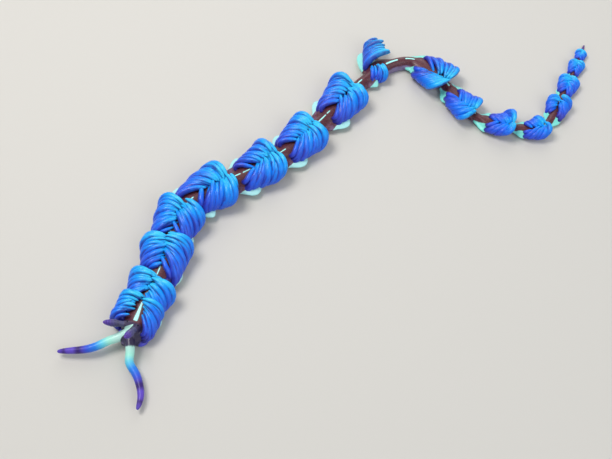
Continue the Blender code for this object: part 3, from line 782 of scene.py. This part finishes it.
def with_share(tree, value, other, share):
    """Adds a share of one value to another."""
    node = add_node(tree, "ShaderNodeMath", operation="MULTIPLY_ADD")
    tree.links.new(other, node.inputs[0])
    node.inputs[1].default_value = share
    tree.links.new(value, node.inputs[2])
    return node.outputs[0]


def wandering(tree, name, group, wander, low, high):
    """Reads a mask, lets its edge wander, and sharpens it."""
    value = mask(tree, name)
    if wander:
        value = with_share(tree, value, group.outputs["Blotches"], -wander)
    return stretched(tree, value, low, high)


def layer(tree, under, over, mask):
    """Mixes a colour over another where the mask is high. Each colour is a socket or a plain colour."""
    mix = add_node(tree, "ShaderNodeMix", data_type="RGBA")
    tree.links.new(mask, mix.inputs["Factor"])
    for value, socket in ((under, mix.inputs[6]), (over, mix.inputs[7])):
        if isinstance(value, bpy.types.NodeSocket):
            tree.links.new(value, socket)
        else:
            socket.default_value = value
    return mix.outputs[2]


def colour_steps(tree, value, steps):
    """A ramp of colours at places from 0 to 1."""
    ramp = add_node(tree, "ShaderNodeValToRGB")
    while len(ramp.color_ramp.elements) < len(steps):
        ramp.color_ramp.elements.new(0.5)
    for element, (place, colour) in zip(ramp.color_ramp.elements, steps):
        element.position = place
        element.color = colour
    tree.links.new(value, ramp.inputs["Fac"])
    return ramp.outputs["Color"]


print("finishes:", ", ".join(FINISHES))

# %% [markdown]
# The skin's colour is built up in layers, as a painter would: a dark maroon ground with small russet speckles,
# lavender mottling low on the flanks, a slate head, then each marking mixed over what is under it, and last a
# painted shade in the mouth slit. A share of the blotches is taken from each mask before it is sharpened, so that
# the edges wander as they do on the animal.

# %% Skin finish
MAROON = linear(84, 38, 48)
RUSSET = linear(132, 70, 74)
LAVENDER = linear(150, 128, 176)
BARE_GREY = linear(136, 124, 166)
SLATE = linear(62, 54, 84)
LIP_GREY = linear(112, 98, 140)
CORNER_BLUE = linear(86, 84, 212)
PALE = linear(168, 248, 242)
RIM = linear(176, 238, 236)
MINT = linear(130, 236, 222)
TENTACLE_MINT = linear(192, 240, 228)
VIOLET = linear(84, 50, 128)
# Near black inside the mouth slit: painted shade in its recess
SLIT_SHADE = linear(30, 14, 26)
TENTACLE_STEPS = (
    (0.00, TENTACLE_MINT), (0.16, linear(186, 240, 226)), (0.25, linear(160, 238, 220)),
    (0.34, linear(96, 206, 232)), (0.44, linear(24, 128, 232)), (0.56, linear(48, 84, 214)),
    (0.62, linear(70, 60, 180)), (0.665, linear(52, 28, 112)), (0.70, linear(52, 28, 112)),
    (0.76, linear(98, 74, 196)), (0.85, linear(92, 66, 184)), (0.89, linear(58, 30, 118)),
    (0.93, linear(84, 56, 170)), (1.00, linear(96, 80, 190)),
)

skin_finish, tree, shader, group = wet_material("slug_skin")
blotched = add_node(tree, "ShaderNodeMath", operation="MULTIPLY")
tree.links.new(stretched(tree, mask(tree, "up_share"), 0.85, 0.05), blotched.inputs[0])
tree.links.new(group.outputs["Blotches"], blotched.inputs[1])
colour = layer(tree, MAROON, RUSSET, stretched(tree, group.outputs["Grain"], 0.50, 0.70, 0.75))
colour = layer(tree, colour, LAVENDER, blotched.outputs[0])
rim_colour = layer(tree, RIM, MINT, stretched(tree, mask(tree, "body_place"), 0.44, 0.60))
tentacle_colour = colour_steps(tree, mask(tree, "tentacle_place"), TENTACLE_STEPS)
# Masks, colours, how far the edges wander, and the two values between which a marking fades in
MARKINGS = (
    ("bare_flank", BARE_GREY, 0.45, 0.10, 1.00), ("headness", SLATE, 0.20, 0.10, 0.90),
    ("lips", LIP_GREY, 0.35, 0.20, 1.00), ("corner_blue", CORNER_BLUE, 0.20, 0.20, 0.80),
    ("rim", rim_colour, 0.30, 0.15, 0.70), ("spine", PALE, 0.15, 0.20, 0.70),
    ("body_place", VIOLET, 0.00, 0.972, 0.985), ("on_tentacle", tentacle_colour, 0.20, 0.20, 0.80),
    ("band", TENTACLE_MINT, 0.12, 0.20, 0.60), ("slit", SLIT_SHADE, 0.00, 0.25, 0.75),
)
for name, over, wander, low, high in MARKINGS:
    colour = layer(tree, colour, over, wandering(tree, name, group, wander, low, high))
tree.links.new(colour, shader.inputs["Base Color"])
skin.data.materials.append(skin_finish)
print("skin finish:", len(tree.nodes), "nodes")

# %% [markdown]
# A cluster is a hand of fingers. They root side by side on the lobe, bulge outwards, arch over the back and close
# again at their tips, as petals do round a bud. Each finger follows a cubic curve through four control points. Rows
# blend from the short inner fingers to the long outer ones, which root lowest and lie on top. Tables give what
# changes along the body: the sweep of the tips, the opening of the fans and the shift of the roots.

# %% Shape of a cluster
# For each control point, shares of the body's half width and height, and below them what is added out and up
INNER = np.array((
    ((1.00, 0.80), (1.00, 0.80), (0.60, 1.00), (0.00, 1.00)),
    ((0.00, 0.0), (1.80, 1.2), (1.20, 1.5), (0.00, 0.3)),
))
OUTER = np.array((
    ((1.00, 0.30), (1.00, 0.30), (0.80, 1.00), (0.10, 1.00)),
    ((0.50, 0.0), (3.90, 0.5), (3.10, 2.6), (0.05, 0.9)),
))
STACKED = np.array((
    ((0.90, 0.50), (1.00, 0.80), (0.90, 1.00), (0.70, 1.00)),
    ((0.00, 0.2), (0.70, 1.2), (0.70, 1.8), (0.20, 1.3)),
))
FAN_ENDS = ((-0.46, 0.24), (-0.44, 0.62), (-0.08, 1.02), (0.34, 0.90))
STACKED_ENDS = ((0.10, -0.42), (0.10, -0.36), (0.30, 0.16), (0.48, 0.50))
SWEEP_SHARES = (0.0, 0.1, 0.6, 1.0)
LEAN_SHARES = (0.40, 0.70, 0.90, 1.0)
ROWS = (
    {"blend": 0.0, "count": 5, "offset": 0.0, "radius": 0.48, "tip": -1.1},
    {"blend": 0.50, "count": 6, "offset": 0.5, "radius": 0.55, "tip": -0.2},
    {"blend": 1.0, "count": 9, "offset": 0.0, "radius": 0.60, "tip": 0.2},
)
SWEEPS = {
    "right": (
        (0.0, -0.9), (22.0, -0.7), (28.3, 0.2), (39.0, 0.1), (75.0, 0.0), (84.0, 1.2), (112.0, 1.2), (120.0, 0.2),
    ),
    "left": ((0.0, 0.4), (9.0, 0.0), (75.0, 0.0), (84.0, 1.5), (112.0, 1.8), (120.0, 0.2)),
}
OPENINGS = ((72.0, -0.25), (84.0, 0.0), (96.0, 0.0), (112.0, -0.1), (117.0, -0.5), (124.0, -0.6), (127.5, -1.3))
ROOT_SHIFTS = ((74.0, 0.0), (82.0, 1.0), (110.0, 2.0), (116.0, 0.7), (128.0, 0.2))
print("fingers of a full cluster:", sum(row["count"] for row in ROWS))

# %% [markdown]
# The solid body is parted by leaning cuts. Each finger keeps to its own side of them, so that neighbouring clusters
# lie on each other and don't cross. A root that would hang beside the skin is moved into it: a search tree finds
# the nearest point of the skin, and the direction in which that point faces tells inside from outside.

# %% Cuts and roots
GAP = 0.3
CUT_LEAN = 1.0
ROOT_DEPTH = 0.15


def cut_at(place, lean):
    """Point and normal of the leaning cut that parts two lengths of the solid body."""
    point, back, _ = frame_at(place)
    tilt = math.atan(lean)
    return point, back * math.cos(tilt) - UP * math.sin(tilt)


def held_between(line, radii, cuts):
    """Slides a finger's points off the cuts, so that neighbouring clusters lie on each other and don't cross."""
    for sign, cut in zip((1, -1), cuts):
        if cut is None:
            continue
        past = ((line - cut[0]) @ cut[1]) * sign - radii - GAP / 2
        line = line + (np.maximum(0.0, -past) * sign)[:, None] * cut[1]
    return line


skin_faces = [tuple(face.vertices) for face in fused.polygons]
skin_tree = bvhtree.BVHTree.FromPolygons(skin_points.tolist(), skin_faces)


def rooted(point):
    """Moves a finger's first point into the skin, where it would hang beside it."""
    place, normal, _, _ = skin_tree.find_nearest(point)
    place, normal = np.array(place), np.array(normal)
    return point if (place - point) @ normal > 0 else place - normal * ROOT_DEPTH


print("search tree over", len(skin_faces), "faces of the skin")

# %% [markdown]
# The four control points of one finger come from the tables, with a little chance in its length, tip and
# thickness. A finger is slim at the root, full along its length and round at the tip. Its rings crowd towards the
# tip, so that the rounding is smooth.

# %% One finger
THICKNESS_SWAY = 0.14
SHORTEST = 0.50
SWAY = 0.08
TIP_SWAY = 0.48
LEAN_LOSS = 0.85
STEP_CROWDING = 1.35
FINGER_ROOT = 0.82
FINGER_BELLY = 0.20
FINGER_THINNING = 0.6
FINGER_STEPS = 20


def finger_line(middle, side, row, size, lean, share, shift, chance):
    """Centre line and radii of one finger of the cluster that stands at that middle."""
    length = size * (SHORTEST + (1 - SHORTEST) * share) * chance.uniform(1 - SWAY, 1 + SWAY)
    sway = chance.uniform(-TIP_SWAY, TIP_SWAY, 3) * size
    sweep = (value_at(SWEEPS[side], middle) + shift + row["tip"] * (1 - share)) * size
    rooting = value_at(ROOT_SHIFTS, middle) * size
    opening = value_at(OPENINGS, middle) * size
    stacked = lean > STACKED_LEAN
    lean = lean * (1 - LEAN_LOSS * share)
    arch = STACKED if stacked else INNER * (1 - row["blend"]) + OUTER * row["blend"]
    controls = []
    for i, (ends, stacked_ends) in enumerate(zip(FAN_ENDS, STACKED_ENDS)):
        first, last = stacked_ends if stacked else ends
        place = middle + LOBE_LENGTH * size * (first + (last - first) * share)
        place += sweep * SWEEP_SHARES[i] + rooting * (i < 2)
        out, up = arch[0, i] * body_size(place) + arch[1, i] * length
        along, aside, above = sway * (i == 3)
        point, _, right = frame_at(place + along)
        aside += lean * (1 if stacked else LEAN_SHARES[i]) + SWEEP_SHARES[i] * opening
        controls.append(point + right * SIDES[side] * (out + aside) + UP * (up + above))
    step = (1 - (1 - np.linspace(0, 1, FINGER_STEPS))**STEP_CROWDING)[:, None]
    rest = 1 - step
    a, b, c, d = rooted(controls[0]), *controls[1:]
    line = a * rest**3 + 3 * b * rest**2 * step + 3 * c * rest * step**2 + d * step**3
    step = step[:, 0]
    shape = (FINGER_ROOT + FINGER_BELLY * np.sin(np.pi * step**0.9)) * rounded_end(step, power=9, least=0.0006)
    radius = row["radius"] * size**FINGER_THINNING * chance.uniform(1 - THICKNESS_SWAY, 1 + THICKNESS_SWAY)
    return line, radius * shape


print("a finger's line has", FINGER_STEPS, "points")

# %% [markdown]
# A cluster is three rows of such fingers. A small cluster has fewer of them. Bunching moves each one a little along
# its row, and no finger sinks into the floor.

# %% One cluster
STACKED_BRIGHTNESS = 0.9
BUNCHING = 0.45
CLUSTER_SWAY = 0.45
COUNT_THINNING = 0.85
HELD_FROM = 3
FLOOR_MARGIN = 0.05


def cluster_fingers(side, middle, size, lean, cuts, chance):
    """Lines and radii of all the fingers of one cluster."""
    made = []
    shift = chance.uniform(-CLUSTER_SWAY, CLUSTER_SWAY)
    for row in ROWS:
        count = max(2, round(row["count"] * size**COUNT_THINNING))
        for i in range(count):
            share = np.clip((i + row["offset"] + chance.uniform(-BUNCHING, BUNCHING)) / (count - 1), 0, 1)
            line, radii = finger_line(middle, side, row, size, lean, share, shift, chance)
            line[HELD_FROM:] = held_between(line[HELD_FROM:], radii[HELD_FROM:], cuts)
            line[:, 2] = np.maximum(line[:, 2], radii + FLOOR_MARGIN)
            made.append((line, radii, max(share, STACKED_BRIGHTNESS * (lean > STACKED_LEAN))))
    return made


print("rows of a cluster:", len(ROWS))

# %% [markdown]
# Where two fingers of a fan touch, the sides that face each other are painted darker: a painted shade between
# neighbours, here called the groove shade. It lies on the part of a finger that isn't turned outwards, away from
# the body's middle. So each point of its rings is compared with the outward direction.

# %% Painted shade between fingers
# Painted shade between fingers: full below the first of these facings, none above the second
GROOVE_SHADE_EDGES = (0.60, 0.92)
AXIS_HEIGHT = 0.45
AXIS_STEP = 0.5
AXIS_PLACES = np.arange(0.0, TAIL_TIP, AXIS_STEP)
AXIS = next(midline_frames(AXIS_PLACES)) + UP * (body_size(AXIS_PLACES)[1] * AXIS_HEIGHT)[:, None]


# Its result is the mask of painted shade between neighbouring fingers
def turned_away(line, rings):
    """How far each point of a finger's rings is turned from the outside of the fan, from 0 to 1."""
    gaps = np.linalg.norm((line[:, None] - AXIS[None]) * (1, 1, 0), axis=2)
    outward = line - AXIS[gaps.argmin(axis=1)]
    headings = unit(np.gradient(line, axis=0))
    outward = unit(outward - headings * (outward * headings).sum(axis=1)[:, None])
    facing = (unit(rings - line[:, None]) * outward[:, None]).sum(axis=2)
    return 1 - np.interp(facing, GROOVE_SHADE_EDGES, (0, 1))


print("middle line for the grooves:", len(AXIS), "points")

# %% [markdown]
# One mesh holds the fingers of one length of the body, so that it can take the place of that length's solid ones.
# Each finger gets its own cell in the mesh's UV map, a sheet on which patterns can be baked later. The masks are
# the place along the finger, its place in the fan, a number of its own, the painted shade between neighbours, and a
# share that changes the blue towards the tail.

# %% Mesh for one length of the body
FINGER_SIDES = 14
CELL_FILL = 0.92
CELL_MARGIN = 0.04
CAP_SIZE = 0.02
CAP_PLACES = ((0.1, 0.03), (0.5, 0.955))


def finger_piece(name, fingers, tail_share, groove_shade_depth, chance):
    """All the fingers of one length as one mesh, with its masks and its UV map."""
    points, faces, masks, maps = [], [], [], []
    cells = math.ceil(math.sqrt(len(fingers)))
    turn = ring_angles(FINGER_SIDES)
    disc = np.stack([np.cos(turn), np.sin(turn)], 1) * CAP_SIZE
    for number, (line, radii, share) in enumerate(fingers):
        rings = rings_along(line, radii, FINGER_SIDES)
        first = len(points) * FINGER_STEPS * FINGER_SIDES
        faces += tube_faces(FINGER_STEPS, FINGER_SIDES, first)
        points.append(rings.reshape(-1, 3))
        along = np.repeat(np.linspace(0, 1, FINGER_STEPS), FINGER_SIDES)
        # Painted shade where the finger faces its neighbours
        groove_shade = turned_away(line, rings).ravel() * groove_shade_depth
        masks.append(np.stack([along, np.full_like(along, share), np.full_like(along, chance.random()), groove_shade], 1))
        corner = np.array([number % cells, number // cells]) / cells
        ring, side = np.meshgrid(np.arange(FINGER_STEPS - 1), np.arange(FINGER_SIDES), indexing="ij")
        u = np.stack([side, side + 1, side + 1, side], -1) / FINGER_SIDES
        v = np.stack([ring, ring, ring + 1, ring + 1], -1) / FINGER_STEPS
        quads = np.stack([u, v], -1).reshape(-1, 2) * CELL_FILL + CELL_MARGIN
        caps = (disc[::-1] + CAP_PLACES[0], disc + CAP_PLACES[1])
        maps += [corner + patch / cells for patch in (quads, *caps)]
    made = new_piece(name, np.concatenate(points), faces)
    for column, mask_name in enumerate(("finger_along", "fan_place", "finger_chance", "groove_shade")):
        keep_mask(made, mask_name, np.concatenate(masks)[:, column])
    keep_mask(made, "tail_share", np.full(len(made.data.vertices), tail_share))
    bake_map = made.data.uv_layers.new(name="OFBake")
    bake_map.uv.foreach_set("vector", np.concatenate(maps).astype(np.float32).ravel())
    return made


print("a finger has", FINGER_STEPS * FINGER_SIDES, "points")

# %% [markdown]
# Now all 34 clusters are made, each in the length where it stands. The seed fixes the small chance changes, so each
# run gives the same slug.

# %% All the fingers
SEED = 7
DEEPER_BLUE = ((75.0, 0.0), (85.0, 0.45), (94.0, 0.50), (108.0, 0.40), (114.0, 0.0), (120.0, -0.35))
# How strong the painted shade between fingers is along the body
GROOVE_SHADE_DEPTHS = ((74.0, 1.0), (90.0, 0.60))
LENGTHS = (
    ("neck", 1.6), ("trunk_01", 9.0), ("trunk_02", 15.6), ("trunk_03", 22.9), ("trunk_04", 33.0),
    ("trunk_05", 42.4), ("trunk_06", 52.8), ("trunk_07", 62.8), ("trunk_08", 74.2), ("trunk_09", 84.6),
    ("trunk_10", 93.4), ("trunk_11", 100.4), ("tail_01", 107.4), ("tail_02", 114.2), ("tail_03", 120.4),
)

starts = [start for _, start in LENGTHS]
cuts = [None] + [cut_at(start, CUT_LEAN) for start in starts[1:]] + [None]
finger_pieces = {}
for i, (name, start) in enumerate(LENGTHS):
    end = starts[i + 1] if i + 1 < len(starts) else TAIL_TIP
    chance = np.random.default_rng([SEED, i])
    fingers = []
    for pair in PAIRS:
        middle = (pair[0][0] + pair[1][0]) / 2
        if start < middle < end:
            for side, row in zip(SIDES, pair):
                fingers += cluster_fingers(side, *row, cuts[i:i + 2], chance)
    tail_share, groove_shade_depth = (value_at(steps, start) for steps in (DEEPER_BLUE, GROOVE_SHADE_DEPTHS))
    finger_pieces[name] = finger_piece("cerata_" + name, fingers, tail_share, groove_shade_depth, chance)
    print("cerata_" + name, len(fingers), "fingers,", len(finger_pieces[name].data.polygons), "faces")

# %% [markdown]
# A finger is violet-blue where it roots, royal blue along its length and azure at its tip. The azure of the tips,
# which face up over the back, is partly the animal's own colour and partly a painted highlight. The colour runs
# along the finger's own mask, shifted a little by its place in the fan, by chance and towards the tail. Small
# darker speckles are mixed over it, and violet painted shade where neighbours touch. Light enters the thin flesh,
# so a little subsurface scattering softens it.

# %% Finish of the fingers
# The finger's own blues from root to tip; the azure at the upward-facing tips is partly a painted highlight
FINGER_BLUES_AND_TIP_HIGHLIGHT = (
    (0.00, linear(46, 34, 104)), (0.12, linear(58, 58, 176)), (0.28, linear(46, 80, 222)),
    (0.50, linear(24, 104, 240)), (0.66, linear(2, 132, 252)), (0.82, linear(0, 166, 255)),
    (1.00, linear(48, 200, 255)),
)
SPECKLE_BLUE = linear(30, 70, 196)
# Violet painted shade between neighbouring fingers
GROOVE_SHADE_VIOLET = linear(48, 46, 150)
COLOUR_SHIFTS = {"fan_place": 0.36, "finger_chance": 0.16, "Blotches": 0.06, "tail_share": -0.24}
COLOUR_SPAN = (0.10, 1.24)
FLESH_GLOW = {"Subsurface Weight": 0.12, "Subsurface Radius": (0.2, 0.5, 1.0), "Subsurface Scale": 0.5 * MM}

finger_finish, tree, shader, group = wet_material("cerata_blue")
value = mask(tree, "finger_along")
for name, share in COLOUR_SHIFTS.items():
    value = with_share(tree, value, group.outputs[name] if name in group.outputs else mask(tree, name), share)
colour = colour_steps(tree, stretched(tree, value, *COLOUR_SPAN, way="LINEAR"), FINGER_BLUES_AND_TIP_HIGHLIGHT)
colour = layer(tree, colour, SPECKLE_BLUE, stretched(tree, group.outputs["Grain"], 0.50, 0.72, 0.28))
# Mixes the painted shade between neighbouring fingers over the blues
colour = layer(tree, colour, GROOVE_SHADE_VIOLET, wandering(tree, "groove_shade", group, 0.30, 0.08, 1.32))
tree.links.new(colour, shader.inputs["Base Color"])
set_sockets(shader, FLESH_GLOW)
for piece in finger_pieces.values():
    piece.data.materials.append(finger_finish)
print("finger finish:", len(tree.nodes), "nodes on", len(finger_pieces), "pieces")

# %% [markdown]
# The rhinophores are the two horns that the slug smells with. Each is a smooth stalk that carries a club of fine
# leaves stacked round it. A turned profile makes them: the radius swells into a club, and a sharp-edged wave adds
# one ridge for each leaf. The gaps between the leaves are painted darker slate, a painted shade in the creases.

# %% Rhinophores
STALK_RADIUS = 0.46
CLUB_RADIUS = 0.64
CLUB_START = 0.42
LEAVES = 11
LEAF_DEPTH = 0.11
LEAF_SHARPNESS = 1.5
LAST_LEAF = 0.93
CLUB_SWELLING = 1.5
CLUB_LEAD = 0.02
CLUB_ROUNDING = 2.6
HORN_SIDES = 32
HORN_STEPS = 190
HORN_COLOURS = (
    (0.0, linear(88, 86, 120)), (0.50, linear(84, 84, 120)), (0.70, linear(84, 78, 142)),
    (0.86, linear(98, 66, 180)), (1.0, linear(86, 44, 160)),
)
# Darker slate between the leaves of the club: painted shade in the creases
LEAF_GAP_SHADE = linear(40, 34, 62)

horn_finish, tree, shader, group = wet_material("rhinophore_slate")
colour = colour_steps(tree, mask(tree, "horn_along"), HORN_COLOURS)
# Mixes the painted shade between the leaves over the horn's colours
colour = layer(tree, colour, LEAF_GAP_SHADE, wandering(tree, "leaf_gap_shade", group, 0.15, 0.2, 0.9))
tree.links.new(colour, shader.inputs["Base Color"])

horns = {}
for side in SIDES:
    root, top = (np.array(place) for place in RHINOPHORE_LINES[side])
    share = np.linspace(0, 1, HORN_STEPS)
    in_club = np.clip((share - CLUB_START) / (1 - CLUB_START), 0, 1)
    swell = np.sin(np.pi * np.clip(in_club * CLUB_SWELLING + CLUB_LEAD, 0, 0.5))
    wave = (in_club * LEAVES) % 1.0
    leaf = np.where((in_club > 0) & (in_club < LAST_LEAF), 1 - np.abs(2 * wave - 1)**LEAF_SHARPNESS, 1.0)
    radii = STALK_RADIUS + (CLUB_RADIUS - STALK_RADIUS) * swell - LEAF_DEPTH * (1 - leaf) * (in_club > 0)
    radii = radii * rounded_end(in_club, CLUB_ROUNDING, least=0.001)
    line = root + (top - root) * share[:, None]
    rings = rings_along(line, radii, HORN_SIDES)
    horn = new_piece("rhinophore_horn_" + side, rings, tube_faces(HORN_STEPS, HORN_SIDES))
    keep_mask(horn, "horn_along", np.repeat(share, HORN_SIDES))
    # Where the painted shade between leaves lies along the horn
    keep_mask(horn, "leaf_gap_shade", np.repeat(1 - leaf, HORN_SIDES))
    horn.data.materials.append(horn_finish)
    horns[side] = horn
print("rhinophores:", LEAVES, "leaves each, on horns", round(float(np.linalg.norm(top - root)), 1), "mm long")

# %% [markdown]
# An aeolid's eyes are no more than black dots under the skin, just behind the rhinophores. Two tiny glossy beads,
# sunk half their size, are enough.

# %% Eyes
EYE_RADIUS = 0.13
EYE_PLACE = 2.75
EYE_OUT = 0.95
EYE_SEARCH = 0.2
EYE_FLOOR = 1.5
EYE_RINGS = 12
EYE_SIDES = 18
EYE_POLE = 0.05
EYE_BLACK = linear(8, 8, 14)
EYE_SHEEN = linear(26, 22, 40)

eye_finish, tree, shader, group = wet_material("eye_black")
tree.links.new(layer(tree, EYE_BLACK, EYE_SHEEN, group.outputs["Blotches"]), shader.inputs["Base Color"])
eyes = {}
for side in SIDES:
    point, _, right = frame_at(EYE_PLACE)
    spot = point + right * SIDES[side] * EYE_OUT
    gaps = np.linalg.norm((skin_points - spot) * (1, 1, 0), axis=1)
    surface = skin_points[(gaps < EYE_SEARCH) & (skin_up > EYE_FLOOR)][:, 2].max()
    ball = egg_rings(spot + UP * surface, np.eye(3), [EYE_RADIUS] * 3, EYE_RINGS, EYE_SIDES, EYE_POLE)
    eyes[side] = new_piece("eye_" + side, ball, tube_faces(EYE_RINGS, EYE_SIDES))
    eyes[side].data.materials.append(eye_finish)
print("eyes:", len(eyes), "beads of", 2 * EYE_RADIUS, "mm")

# %% [markdown]
# Last, every piece is tied to the solid body that it dresses. The slug is one still model, so all of them ride on
# its single body. The solid parts that the pieces stand for are hidden.

# %% Tie the pieces to the solid body
flesh = [name for name in frame["nodes"] if not name.startswith("rhinophore")]
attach(skin, "root")
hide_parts(*flesh)
for name, piece in finger_pieces.items():
    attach(piece, "root")
    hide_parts(name)
for side, horn in horns.items():
    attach(horn, "root")
    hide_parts("rhinophore_" + side)
for side, eye in eyes.items():
    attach(eye, "root")

bpy.context.view_layer.update()
